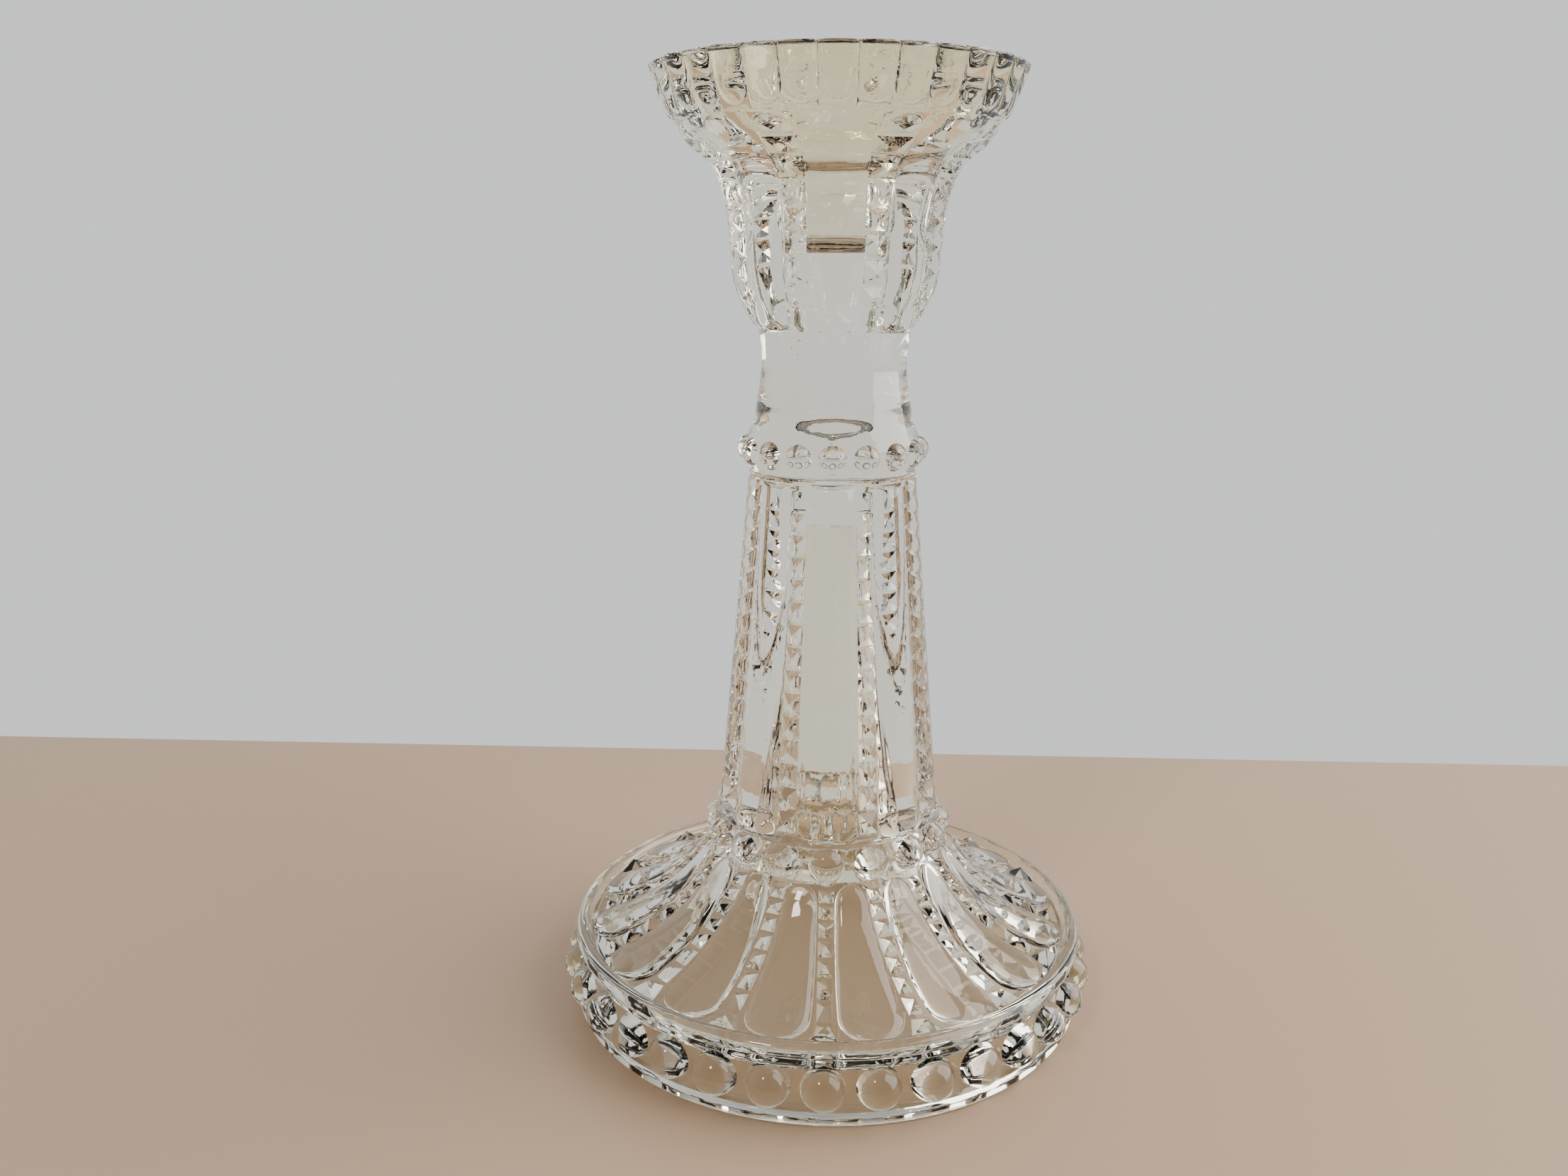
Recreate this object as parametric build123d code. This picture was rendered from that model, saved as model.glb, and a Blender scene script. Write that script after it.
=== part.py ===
"""Pressed-glass candlestick: a candle cup on a tapered hollow stem and a wide beaded foot.

Millimetres, +Z up, origin at the centre of the circle that the foot stands on. Each moulded
member of the glass is its own solid, and the members meet face to face on plain turned seats.
Every pattern is a multiple of eight, with a smooth panel, a bead or a row of points on +X.
"""

import math
import os

from build123d import *

# ---------------------------------------------------------------- driving dimensions, mm
# Heights of the members, stacked from the table up.
FLANGE_HEIGHT = 3.0
BAND_HEIGHT = 11.1
SKIRT_RISE = 20.4
FOOT_COLLAR_HEIGHT = 8.2
STEM_HEIGHT = 76.8
COLLAR_HEIGHT = 11.5
NECK_HEIGHT = 20.0
CUP_HEIGHT = 41.2
RIM_HEIGHT = 10.9

# Foot rim: a thin flange, an upright band with large beads, and a round shoulder.
FLANGE_RADIUS = 58.6
BAND_RADIUS = 57.0
SHOULDER_ROUND = 1.9
FOOT_BEAD_RADIUS = 4.75
FOOT_BEAD_COUNT = 32

# Skirt: a hollow-curved cone with teardrop lobes and rows of points that grow outwards.
SKIRT_RADIUS = 55.4
SKIRT_SAG = 3.9
ROW_COUNT = 16
LOBE_HEIGHT = 1.5
LOBE_TOP_RADIUS = 3.5
LOBE_END_RADIUS = 6.0
LOBE_MARGIN = 0.5
SKIRT_POINT_COUNT = 7
SKIRT_POINT_MARGIN = 1.5
SKIRT_POINT_GROWTH = 1.08
SKIRT_POINT_TOP_WIDTH = 2.9
SKIRT_POINT_END_WIDTH = 3.3
SKIRT_POINT_HEIGHT = 1.5
FAN_MARGIN = 1.2
FAN_LENGTH = 5.0
FAN_WIDTH = 5.6

# Collar ring under the stem.
FOOT_COLLAR_RADIUS = 25.6
COLLAR_RING_BEAD_RADIUS = 4.05
COLLAR_RING_BEAD_PROUD = 2.95

# Stem: eight pillowed panels, with a strip of points between each two.
STEM_FOOT_RADIUS = 25.2
STEM_TOP_RADIUS = 18.4
STEM_RECESS = 1.6
STEM_STRIP_DEG = 12.4
STEM_POINT_COUNT = 15
STEM_POINT_GROWTH = 1.013
PANEL_COUNT = 8

# Collar (bell) and neck under the cup.
COLLAR_RADIUS = 18.7
COLLAR_LIP_RADIUS = 18.2
COLLAR_TOP_RADIUS = 17.6
COLLAR_SWELL = 0.3
COLLAR_BEAD_RADIUS = 3.1
COLLAR_BEAD_PROUD = 2.2
NECK_WAIST_RADIUS = 15.6
NECK_WAIST_AT = 12.4
NECK_TOP_RADIUS = 16.2

# Cup: crown radius of its panels at heights from its base.
CUP_BASE_RADIUS = 17.0
CUP_BELLY_RADIUS = 21.4
CUP_BELLY_AT = 9.0
CUP_WAIST_RADIUS = 23.0
CUP_WAIST_AT = 23.7
CUP_FLARE_RADIUS = 25.6
CUP_FLARE_AT = 32.2
CUP_SHOULDER_RADIUS = 31.7
CUP_SHOULDER_AT = 37.9
CUP_LIP_RADIUS = 34.0
CUP_RECESS = 1.3
CUP_STRIP_DEG = 15.0
CUP_POINT_COUNT = 8

# Rim: short upright pads round the mouth.
RIM_RADIUS = 39.0
RIM_FOOT_RADIUS = 34.9
RIM_PAD_DEPTH = 0.9
RIM_PAD_COUNT = 32

# Candle socket.
BORE_RADIUS = 11.25
BORE_DEPTH = 16.5
BOWL_DEPTH = 20.0
BOWL_MOUTH_RADIUS = 34.2
BOWL_SAG = 1.2

# Hollow under the foot and up the stem.
FOOT_WALL = 6.4
CEILING_HEIGHT = 9.4
CEILING_TAPER = 1.0
HOLLOW_COLLAR_RADIUS = 16.6
HOLLOW_TOP_RADIUS = 7.5
HOLLOW_SAG = 3.6
SOLID_ABOVE_HOLLOW = 9.5

# Points on a strip fill this share of their pitch and of the strip's width.
POINT_FILL = 0.84
POINT_WIDTH_FILL = 0.94
POINT_PROUD = 1.5
# How far a raised detail starts below its seat before it is trimmed to it.
ROOT = 1.6

# ---------------------------------------------------------------- levels, from the heights
Z_BAND_TOP = FLANGE_HEIGHT + BAND_HEIGHT
Z_SHOULDER = Z_BAND_TOP + SHOULDER_ROUND
Z_SKIRT_TOP = Z_SHOULDER + SKIRT_RISE
Z_STEM = Z_SKIRT_TOP + FOOT_COLLAR_HEIGHT
Z_COLLAR = Z_STEM + STEM_HEIGHT
Z_NECK = Z_COLLAR + COLLAR_HEIGHT
Z_CUP = Z_NECK + NECK_HEIGHT
Z_RIM = Z_CUP + CUP_HEIGHT
Z_TOP = Z_RIM + RIM_HEIGHT
Z_HOLLOW_TOP = Z_COLLAR - SOLID_ABOVE_HOLLOW
Z_BORE_MOUTH = Z_TOP - BOWL_DEPTH
Z_BORE_FLOOR = Z_BORE_MOUTH - BORE_DEPTH
FOOT_INNER_RADIUS = FLANGE_RADIUS - FOOT_WALL


# ---------------------------------------------------------------- shared helpers
def spun(*edges):
    """A solid turned about Z from an outline of edges given as (radius, height)."""
    outline = make_face(edges)
    return revolve(Plane.XZ * outline, Axis.Z, 360)


def run(*points):
    """Straight edges through the given (radius, height) points."""
    return Polyline(*points)


def around(solids, count, phase=0.0):
    """The solids repeated round Z, each copy a solid of its own."""
    copies = []
    for k in range(count):
        turn = Rot(0, 0, phase + 360 * k / count)
        copies += [turn * solid for solid in solids]
    return copies


def group(solids):
    """One node that holds several separate solids."""
    return Compound(children=list(solids))


def in_radial_plane(radius, height, lean_deg):
    """A plane on the +X side, facing outwards, whose own up leans back by lean_deg."""
    lean = math.radians(lean_deg)
    normal = Vector(math.cos(lean), 0, math.sin(lean))
    return Plane(origin=(radius, 0, height), x_dir=(0, 1, 0), z_dir=normal)


def growing(total, count, growth):
    """Lengths that add up to total, each growth times the one before."""
    first = total / sum(growth**k for k in range(count))
    return [first * growth**k for k in range(count)]


def pyramid(place, width, length, height):
    """A four-sided point that stands on a plane."""
    base = place * Rectangle(width, length)
    tip = place * Pos(0, 0, height)
    return loft([base.face(), Vertex(*tip.position)])


def panel_section(height, crown, recess, strip_deg):
    """A level face with eight bulging panels and a flat strip between each two."""
    half = math.radians(strip_deg / 2)
    flat = (crown - recess) * math.cos(half)
    corner = flat / math.cos(half)
    step = 2 * math.pi / PANEL_COUNT
    edges = []
    for k in range(PANEL_COUNT):
        middle = k * step
        start = middle - step / 2 + half
        end = middle + step / 2 - half
        after = end + 2 * half
        p0 = (corner * math.cos(start), corner * math.sin(start))
        p1 = (crown * math.cos(middle), crown * math.sin(middle))
        p2 = (corner * math.cos(end), corner * math.sin(end))
        p3 = (corner * math.cos(after), corner * math.sin(after))
        edges.append(ThreePointArc(p0, p1, p2))
        edges.append(Line(p2, p3))
    return Pos(0, 0, height) * make_face(edges)


def strip_points(stations, recess, strip_deg):
    """The row of points that stands on one strip, on flats between (radius, height) stations."""
    half = math.radians(strip_deg / 2)
    points = []
    for (r0, z0), (r1, z1) in zip(stations, stations[1:]):
        flat0 = (r0 - recess) * math.cos(half)
        flat1 = (r1 - recess) * math.cos(half)
        pitch = math.hypot(flat1 - flat0, z1 - z0)
        lean_deg = math.degrees(math.atan2(flat0 - flat1, z1 - z0))
        place = in_radial_plane((flat0 + flat1) / 2, (z0 + z1) / 2, lean_deg)
        narrow = 2 * min(flat0, flat1) * math.tan(half)
        points.append(pyramid(place, POINT_WIDTH_FILL * narrow, POINT_FILL * pitch, POINT_PROUD))
    return points


# ---------------------------------------------------------------- hollows
def make_socket():
    """The candle bore with the dished bowl above it."""
    above = Z_TOP + ROOT
    mouth = (BOWL_MOUTH_RADIUS, Z_TOP)
    throat = (BORE_RADIUS, Z_BORE_MOUTH)
    return spun(
        run((0, above), (BOWL_MOUTH_RADIUS, above), mouth),
        SagittaArc(mouth, throat, BOWL_SAG),
        run(throat, (BORE_RADIUS, Z_BORE_FLOOR), (0, Z_BORE_FLOOR), (0, above)),
    )


def make_hollow():
    """The hollow that the pressing plunger leaves in the foot and the stem."""
    ceiling = (FOOT_INNER_RADIUS - CEILING_TAPER, CEILING_HEIGHT)
    waist = (HOLLOW_COLLAR_RADIUS, Z_SKIRT_TOP)
    return spun(
        run((0, -ROOT), (FOOT_INNER_RADIUS, -ROOT), (FOOT_INNER_RADIUS, 0), ceiling),
        SagittaArc(ceiling, waist, HOLLOW_SAG),
        run(waist, (HOLLOW_TOP_RADIUS, Z_HOLLOW_TOP), (0, Z_HOLLOW_TOP), (0, -ROOT)),
    )


# ---------------------------------------------------------------- foot
def make_foot_rim(hollow):
    seat = (SKIRT_RADIUS, CEILING_HEIGHT)
    top = (SKIRT_RADIUS, Z_SHOULDER)
    crest = (BAND_RADIUS, Z_SHOULDER + SHOULDER_ROUND)
    outer = (BAND_RADIUS + SHOULDER_ROUND, Z_SHOULDER)
    under = (BAND_RADIUS, Z_SHOULDER - SHOULDER_ROUND)
    flange = (FLANGE_RADIUS, FLANGE_HEIGHT)
    inner = FOOT_INNER_RADIUS - 2 * CEILING_TAPER
    body = spun(
        run(seat, top, crest),
        RadiusArc(crest, outer, SHOULDER_ROUND),
        RadiusArc(outer, under, SHOULDER_ROUND),
        run(under, (BAND_RADIUS, FLANGE_HEIGHT), flange, (FLANGE_RADIUS, 0)),
        run((FLANGE_RADIUS, 0), (inner, 0), (inner, CEILING_HEIGHT), seat),
    )
    return body - hollow


def make_foot_beads(foot_rim):
    level = FLANGE_HEIGHT + FOOT_BEAD_RADIUS
    bead = Pos(BAND_RADIUS, 0, level) * Sphere(FOOT_BEAD_RADIUS) - foot_rim
    outer = max(bead.solids(), key=lambda s: s.center().X)
    return around([outer], FOOT_BEAD_COUNT)


def skirt_arc():
    return SagittaArc((SKIRT_RADIUS, Z_SHOULDER), (FOOT_COLLAR_RADIUS, Z_SKIRT_TOP), SKIRT_SAG)


def make_skirt(hollow):
    outer = (SKIRT_RADIUS, CEILING_HEIGHT)
    body = spun(
        skirt_arc(),
        run((FOOT_COLLAR_RADIUS, Z_SKIRT_TOP), (0, Z_SKIRT_TOP), (0, CEILING_HEIGHT), outer),
        run(outer, (SKIRT_RADIUS, Z_SHOULDER)),
    )
    return body - hollow


def lobe_outline():
    """Plan of one teardrop lobe: a small round at the top and a large one at the foot."""
    near = FOOT_COLLAR_RADIUS + LOBE_MARGIN + LOBE_TOP_RADIUS
    far = SKIRT_RADIUS - LOBE_MARGIN - LOBE_END_RADIUS
    top = Pos(near, 0) * Circle(LOBE_TOP_RADIUS)
    foot = Pos(far, 0) * Circle(LOBE_END_RADIUS)
    return make_hull([*top.edges(), *foot.edges()])


def make_lobes(skirt):
    """Teardrop lobes, raised from the skirt and seated on its curve."""
    raised = Pos(0, 0, LOBE_HEIGHT) * spun(
        skirt_arc(),
        run((FOOT_COLLAR_RADIUS, Z_SKIRT_TOP), (0, Z_SKIRT_TOP), (0, CEILING_HEIGHT)),
        run((0, CEILING_HEIGHT), (SKIRT_RADIUS, CEILING_HEIGHT), (SKIRT_RADIUS, Z_SHOULDER)),
    )
    column = extrude(lobe_outline(), Z_STEM)
    lobe = (column & raised) - skirt
    outer = max(lobe.solids(), key=lambda s: s.center().Z)
    return around([outer], ROW_COUNT, 180 / ROW_COUNT)


def make_skirt_points(skirt, foot_rim):
    """Rows of points down the skirt between the lobes, each row ending in a wide fan."""
    arc = skirt_arc()
    sizes = [(FAN_MARGIN + FAN_LENGTH / 2, FAN_LENGTH, FAN_WIDTH)]
    end = FAN_MARGIN + FAN_LENGTH
    reach = arc.length - SKIRT_POINT_MARGIN - end
    taper = (SKIRT_POINT_END_WIDTH - SKIRT_POINT_TOP_WIDTH) / (SKIRT_POINT_COUNT - 1)
    for k, pitch in enumerate(growing(reach, SKIRT_POINT_COUNT, 1 / SKIRT_POINT_GROWTH)):
        sizes.append((end + pitch / 2, POINT_FILL * pitch, SKIRT_POINT_END_WIDTH - taper * k))
        end += pitch
    row = []
    for along, length, width in sizes:
        at = arc @ (along / arc.length)
        slope = arc % (along / arc.length)
        lean_deg = math.degrees(math.atan2(-slope.X, slope.Y))
        place = in_radial_plane(at.X, at.Y, lean_deg) * Pos(0, 0, -ROOT)
        scale = (SKIRT_POINT_HEIGHT + ROOT) / SKIRT_POINT_HEIGHT
        rooted = pyramid(place, width * scale, length * scale, SKIRT_POINT_HEIGHT + ROOT)
        point = rooted - skirt - foot_rim
        row.append(max(point.solids(), key=lambda s: s.volume))
    return around(row, ROW_COUNT)


def make_foot_collar(hollow):
    body = Pos(0, 0, Z_SKIRT_TOP) * extrude(Circle(FOOT_COLLAR_RADIUS), FOOT_COLLAR_HEIGHT)
    return body - hollow


def make_foot_collar_beads(foot_collar):
    radius = FOOT_COLLAR_RADIUS + COLLAR_RING_BEAD_PROUD - COLLAR_RING_BEAD_RADIUS
    level = Z_SKIRT_TOP + FOOT_COLLAR_HEIGHT / 2
    ball = Pos(radius, 0, level) * Sphere(COLLAR_RING_BEAD_RADIUS)
    slab = Pos(radius, 0, level) * Box(4 * COLLAR_RING_BEAD_RADIUS, 4 * COLLAR_RING_BEAD_RADIUS,
                                       FOOT_COLLAR_HEIGHT)
    bead = (ball & slab) - foot_collar
    outer = max(bead.solids(), key=lambda s: s.center().X)
    return around([outer], ROW_COUNT)


# ---------------------------------------------------------------- stem
def stem_crown(height):
    """Crown radius of the stem's panels at a height above its foot."""
    return STEM_FOOT_RADIUS + (STEM_TOP_RADIUS - STEM_FOOT_RADIUS) * height / STEM_HEIGHT


def make_stem(hollow):
    foot = panel_section(Z_STEM, STEM_FOOT_RADIUS, STEM_RECESS, STEM_STRIP_DEG)
    top = panel_section(Z_COLLAR, STEM_TOP_RADIUS, STEM_RECESS, STEM_STRIP_DEG)
    return loft([foot, top], ruled=True) - hollow


def make_stem_points():
    stations = [(stem_crown(0), Z_STEM)]
    height = 0.0
    for pitch in growing(STEM_HEIGHT, STEM_POINT_COUNT, 1 / STEM_POINT_GROWTH):
        height += pitch
        stations.append((stem_crown(height), Z_STEM + height))
    row = strip_points(stations, STEM_RECESS, STEM_STRIP_DEG)
    return around(row, PANEL_COUNT, 180 / PANEL_COUNT)


# ---------------------------------------------------------------- collar and neck
def make_collar():
    bead_level = Z_COLLAR + COLLAR_HEIGHT / 2
    lip = (COLLAR_LIP_RADIUS, Z_COLLAR)
    band = (COLLAR_RADIUS, bead_level)
    return spun(
        run((0, Z_COLLAR), lip, band),
        SagittaArc(band, (COLLAR_TOP_RADIUS, Z_NECK), -COLLAR_SWELL),
        run((COLLAR_TOP_RADIUS, Z_NECK), (0, Z_NECK), (0, Z_COLLAR)),
    )


def make_collar_beads(collar):
    radius = COLLAR_RADIUS + COLLAR_BEAD_PROUD - COLLAR_BEAD_RADIUS
    bead = Pos(radius, 0, Z_COLLAR + COLLAR_HEIGHT / 2) * Sphere(COLLAR_BEAD_RADIUS) - collar
    outer = max(bead.solids(), key=lambda s: s.center().X)
    return around([outer], ROW_COUNT)


def make_neck():
    waist_level = Z_NECK + NECK_WAIST_AT
    return spun(
        run((0, Z_NECK), (COLLAR_TOP_RADIUS, Z_NECK)),
        ThreePointArc((COLLAR_TOP_RADIUS, Z_NECK), (NECK_WAIST_RADIUS, waist_level),
                      (NECK_TOP_RADIUS, Z_CUP)),
        run((NECK_TOP_RADIUS, Z_CUP), (0, Z_CUP), (0, Z_NECK)),
    )


# ---------------------------------------------------------------- cup and rim
def cup_stations():
    """(crown radius, height) of the levels between the points on the cup."""
    outline = Spline(
        (CUP_BASE_RADIUS, 0),
        (CUP_BELLY_RADIUS, CUP_BELLY_AT),
        (CUP_WAIST_RADIUS, CUP_WAIST_AT),
        (CUP_FLARE_RADIUS, CUP_FLARE_AT),
        (CUP_SHOULDER_RADIUS, CUP_SHOULDER_AT),
        (CUP_LIP_RADIUS, CUP_HEIGHT),
    )
    marks = [outline @ (k / CUP_POINT_COUNT) for k in range(CUP_POINT_COUNT + 1)]
    return [(mark.X, Z_CUP + mark.Y) for mark in marks]


def make_cup(socket):
    levels = [panel_section(z, r, CUP_RECESS, CUP_STRIP_DEG) for r, z in cup_stations()]
    return loft(levels, ruled=True) - socket


def make_cup_points():
    row = strip_points(cup_stations(), CUP_RECESS, CUP_STRIP_DEG)
    return around(row, PANEL_COUNT, 180 / PANEL_COUNT)


def pad_section(height, crown):
    """A level face with a shallow bulge for each pad of the rim."""
    step = 2 * math.pi / RIM_PAD_COUNT
    valley = crown - RIM_PAD_DEPTH
    edges = []
    for k in range(RIM_PAD_COUNT):
        angles = [(k - 0.5) * step, k * step, (k + 0.5) * step]
        radii = [valley, crown, valley]
        ends = [(r * math.cos(a), r * math.sin(a)) for r, a in zip(radii, angles)]
        edges.append(ThreePointArc(*ends))
    return Pos(0, 0, height) * make_face(edges)


def make_rim(socket):
    ring = loft([pad_section(Z_RIM, RIM_FOOT_RADIUS), pad_section(Z_TOP, RIM_RADIUS)], ruled=True)
    return ring - socket


# ---------------------------------------------------------------- the whole candlestick
def build():
    socket = make_socket()
    hollow = make_hollow()
    foot_rim = make_foot_rim(hollow)
    skirt = make_skirt(hollow)
    foot_collar = make_foot_collar(hollow)
    collar = make_collar()
    return {
        "foot_rim": foot_rim,
        "foot_rim_beads": group(make_foot_beads(foot_rim)),
        "skirt": skirt,
        "skirt_lobes": group(make_lobes(skirt)),
        "skirt_points": group(make_skirt_points(skirt, foot_rim)),
        "foot_collar": foot_collar,
        "foot_collar_beads": group(make_foot_collar_beads(foot_collar)),
        "stem": make_stem(hollow),
        "stem_points": group(make_stem_points()),
        "collar": collar,
        "collar_beads": group(make_collar_beads(collar)),
        "neck": make_neck(),
        "cup": make_cup(socket),
        "cup_points": group(make_cup_points()),
        "rim": make_rim(socket),
    }


if __name__ == "__main__":
    os.makedirs("parts", exist_ok=True)
    for name, shape in build().items():
        export_step(shape, f"parts/{name}.step")
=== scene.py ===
"""The looks of a pressed-glass candlestick: one clear moulding for each member of the fused glass.

Outlines are worked out in millimetres as (radius, angle, height), with angle 0 at the front, and
turned into metres when a piece is made.
"""

import math

import bmesh
import bpy
from mathutils import Matrix, Vector, noise


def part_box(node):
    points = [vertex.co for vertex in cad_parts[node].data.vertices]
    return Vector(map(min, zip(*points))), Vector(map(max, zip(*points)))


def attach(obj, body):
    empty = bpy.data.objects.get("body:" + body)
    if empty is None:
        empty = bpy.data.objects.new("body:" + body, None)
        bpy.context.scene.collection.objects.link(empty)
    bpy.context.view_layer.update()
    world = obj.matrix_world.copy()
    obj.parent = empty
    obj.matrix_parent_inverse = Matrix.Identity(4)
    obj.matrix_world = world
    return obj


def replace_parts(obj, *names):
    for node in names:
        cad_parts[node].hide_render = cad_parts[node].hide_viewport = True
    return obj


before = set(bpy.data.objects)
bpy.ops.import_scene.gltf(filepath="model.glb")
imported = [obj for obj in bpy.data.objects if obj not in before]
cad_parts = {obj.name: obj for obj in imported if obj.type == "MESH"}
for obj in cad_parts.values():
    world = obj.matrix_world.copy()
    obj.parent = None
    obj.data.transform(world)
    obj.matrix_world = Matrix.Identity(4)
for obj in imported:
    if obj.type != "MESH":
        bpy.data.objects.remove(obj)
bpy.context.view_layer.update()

MM = 0.001
GLASS_SLOT, JOINT_SLOT = 0, 1
HARD_EDGE = math.radians(32)


def levels(node):
    """Lowest and highest level of a CAD node, and its radius, in millimetres."""
    low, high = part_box(node)
    return low[2] / MM, high[2] / MM, high[0] / MM


# ------------------------------------------------------------------ sizes
_, _, FLANGE_R = levels("foot_rim")
Z_LEDGE, Z_SKIRT_TOP, SKIRT_R = levels("skirt")
_, Z_STEM, RING_R = levels("foot_collar")
_, Z_COLLAR, STEM_FOOT_R = levels("stem")
_, Z_NECK, COLLAR_R = levels("collar")
_, Z_CUP, _ = levels("neck")
_, Z_RIM, CUP_LIP_R = levels("cup")
_, Z_TOP, RIM_R = levels("rim")
_, _, FOOT_BEAD_REACH = levels("foot_rim_beads")
_, _, RING_BEAD_REACH = levels("foot_collar_beads")
_, _, COLLAR_BEAD_REACH = levels("collar_beads")

# Foot rim.
BEAD_ROWS = 8
FOOT_BEADS = 32
FOOT_BEAD_R = 4.7
FOOT_BEAD_PROUD = 4.75
BAND_R = FOOT_BEAD_REACH - FOOT_BEAD_PROUD
Z_BAND = 3.0
Z_BAND_TOP = 14.1
SHOULDER_ROUND = 1.9
Z_SHOULDER = Z_BAND_TOP + SHOULDER_ROUND
FOOT_INNER_R = 52.2
CEILING_R = 51.2

# Skirt.
ROWS = 16
SKIRT_SAG = 3.9
LOBE_HEIGHT = 1.5
LOBE_START = 0.4
LOBE_STOP = 0.5
LOBE_TOP_ROUND = 4.2
LOBE_END_ROUND = 6.2
ROW_HALF = 1.85, 3.4
SKIRT_POINTS = 7
SKIRT_POINT_START = 1.4
SKIRT_POINT_GROWTH = 1.09
SKIRT_POINT_FILL = 0.9
SKIRT_POINT_HALF = 1.8
SKIRT_POINT_HEIGHT = 1.9
FAN_LENGTH = 5.3
FAN_HALF = 3.8
FAN_HEIGHT = 2.3
SKIRT_POINT_INSET = 0.16

# Panels and strips of points, on the stem and the cup.
PANELS = 8
PANEL_COLUMNS = 22
STEM_TOP_R = 18.4
STEM_RECESS = 1.5
STEM_STRIP = math.radians(6.2)
STEM_POINTS = 15
STEM_POINT_GROWTH = 1.013
STEM_POINT_HEIGHT = 1.7
STEM_POINT_INSET = 0.36
STEM_FOOT_LEDGE = 1.3
STEM_TOP_LEDGE = 0.9
STEM_SEAT_R = STEM_FOOT_R + 0.1
STEM_HEAD_R = STEM_TOP_R - STEM_RECESS - 0.1
CUP_POINTS = 8
CUP_POINT_HEIGHT = 1.9
CUP_POINT_INSET = 0.4
CUP_RECESS = 1.6
CUP_STRIP = math.radians(7.5)
CUP_LIP_STRIP = math.radians(9.0)
CUP_SCALLOP = 4.6

# Collar ring under the stem, and the bell under the neck.
RING_BEAD_R = 4.05
RING_ROUND = 0.35
COLLAR_BEAD_R = 3.05
COLLAR_LIP_R = 18.3
COLLAR_TOP_R = 17.6
COLLAR_SIDE_R = COLLAR_LIP_R - 0.1
Z_COLLAR_BEAD = Z_COLLAR + 5.9
Z_BELL_LOW = Z_COLLAR_BEAD - 3.5
Z_BELL_HIGH = Z_COLLAR_BEAD + 3.4
NECK_WAIST_R = 15.6
NECK_TOP_R = 16.2

# Rim.
PADS = 32
PAD_DEPTH = 1.0
PAD_SCALLOP = 3.1
RIM_FOOT_R = 34.9
RIM_SEAT_R = 33.6
RIM_LEDGE = 1.8

# Bubbles in the glass, as (radius, angle, height, size).
NECK_BUBBLES = ((14.2, -0.50, Z_CUP - 1.6, 0.35), (14.4, -0.62, Z_CUP - 3.4, 0.25),
                (13.6, -0.55, Z_CUP - 4.6, 0.2))
RIM_BUBBLE = 35.2, 0.16, Z_RIM + 3.4, 1.0

# Glass. The levels of the deeper straw near the rim are in metres; that deeper straw is partly the
# glass's own tint and partly painted warm light and a painted reflection of the wooden table.
GLASS_INDEX = 1.52
PALE_STRAW = 0.975, 0.968, 0.90
# The deep straw colour: the glass's own tint where it varies at random, and near the rim also painted
# warm light and a painted reflection of the table.
DEEP_STRAW_AND_WARM_LIGHT = 0.985, 0.90, 0.62
RIM_TINT_AND_LIGHT_LOW, RIM_TINT_AND_LIGHT_HIGH = 0.168, 0.200

# Hollow under the foot and up the stem.
HOLLOW_RING_R = 16.6
HOLLOW_TOP_R = 7.5
HOLLOW_ROOF = 9.5
HOLLOW_SAG = 3.6
RIPPLE_REACH = 34

# Candle bore and bowl.
BORE_R = 11.25
BORE_DEPTH = 16.5
BORE_ROUND = 6.5
BOWL_DEPTH = 20.0
BOWL_R = 34.2
BOWL_SAG = 1.2


# The studio, in metres and degrees.
TABLE_SIZE = 3.0, 1.6, 0.03
TABLE_BACK = 0.148
TABLE_GAP = 0.00015
CAMERA_PLACE = 0, -0.2853, 0.16755
CAMERA_TURN, CAMERA_DIP, CAMERA_ROLL = 2.104, 14.15, 0.327
CAMERA_LENS, CAMERA_SENSOR = 30.11, 36.0


# ------------------------------------------------------------------ outlines
def blend(a, b, share):
    return a + (b - a) * share


def swell(share):
    """A quarter-round rise from 0 to 1."""
    return math.sqrt(max(0.0, 1 - (1 - min(share, 1.0)) ** 2))


def growing(total, count, growth):
    """Lengths that add up to total, each growth times the one before."""
    first = total / sum(growth ** k for k in range(count))
    return [first * growth ** k for k in range(count)]


def smooth_line(*points, steps=24):
    """A smooth curve through (radius, height) points."""
    ends = [Vector(p) for p in (points[0], *points, points[-1])]
    line = []
    for p0, p1, p2, p3 in zip(ends, ends[1:], ends[2:], ends[3:]):
        for s in range(steps):
            t = s / steps
            bend = (p1 * 2 + (p2 - p0) * t + (p0 * 2 - p1 * 5 + p2 * 4 - p3) * t * t
                    + (p1 * 3 - p0 - p2 * 3 + p3) * t ** 3)
            line.append(bend / 2)
    return [*line, ends[-1]]


def lengths_of(line):
    out = [0.0]
    for a, b in zip(line, line[1:]):
        out.append(out[-1] + (b - a).length)
    return out


def along(line, marks):
    """Points at the given distances along a line."""
    lengths = lengths_of(line)
    out = []
    for mark in marks:
        k = 0
        while k < len(line) - 2 and lengths[k + 1] < mark:
            k += 1
        share = (mark - lengths[k]) / max(lengths[k + 1] - lengths[k], 1e-9)
        out.append(line[k].lerp(line[k + 1], min(max(share, 0.0), 1.0)))
    return out


def evenly(line, count):
    """count + 1 evenly spaced points of a line."""
    total = lengths_of(line)[-1]
    return along(line, [total * k / count for k in range(count + 1)])


def at_height(line, height):
    """Radius of a line, which climbs or falls all the way, at a height."""
    for a, b in zip(line, line[1:]):
        if min(a.y, b.y) <= height <= max(a.y, b.y):
            return blend(a.x, b.x, (height - a.y) / (b.y - a.y))
    return line[-1].x if abs(height - line[-1].y) < abs(height - line[0].y) else line[0].x


def between(line, low, high):
    """The stretch of a line between two heights."""
    inside = [p for p in line if low < p.y < high]
    ends = [Vector((at_height(line, level), level)) for level in (low, high)]
    if line[0].y > line[-1].y:
        ends.reverse()
    return [ends[0], *inside, ends[1]]


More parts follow.
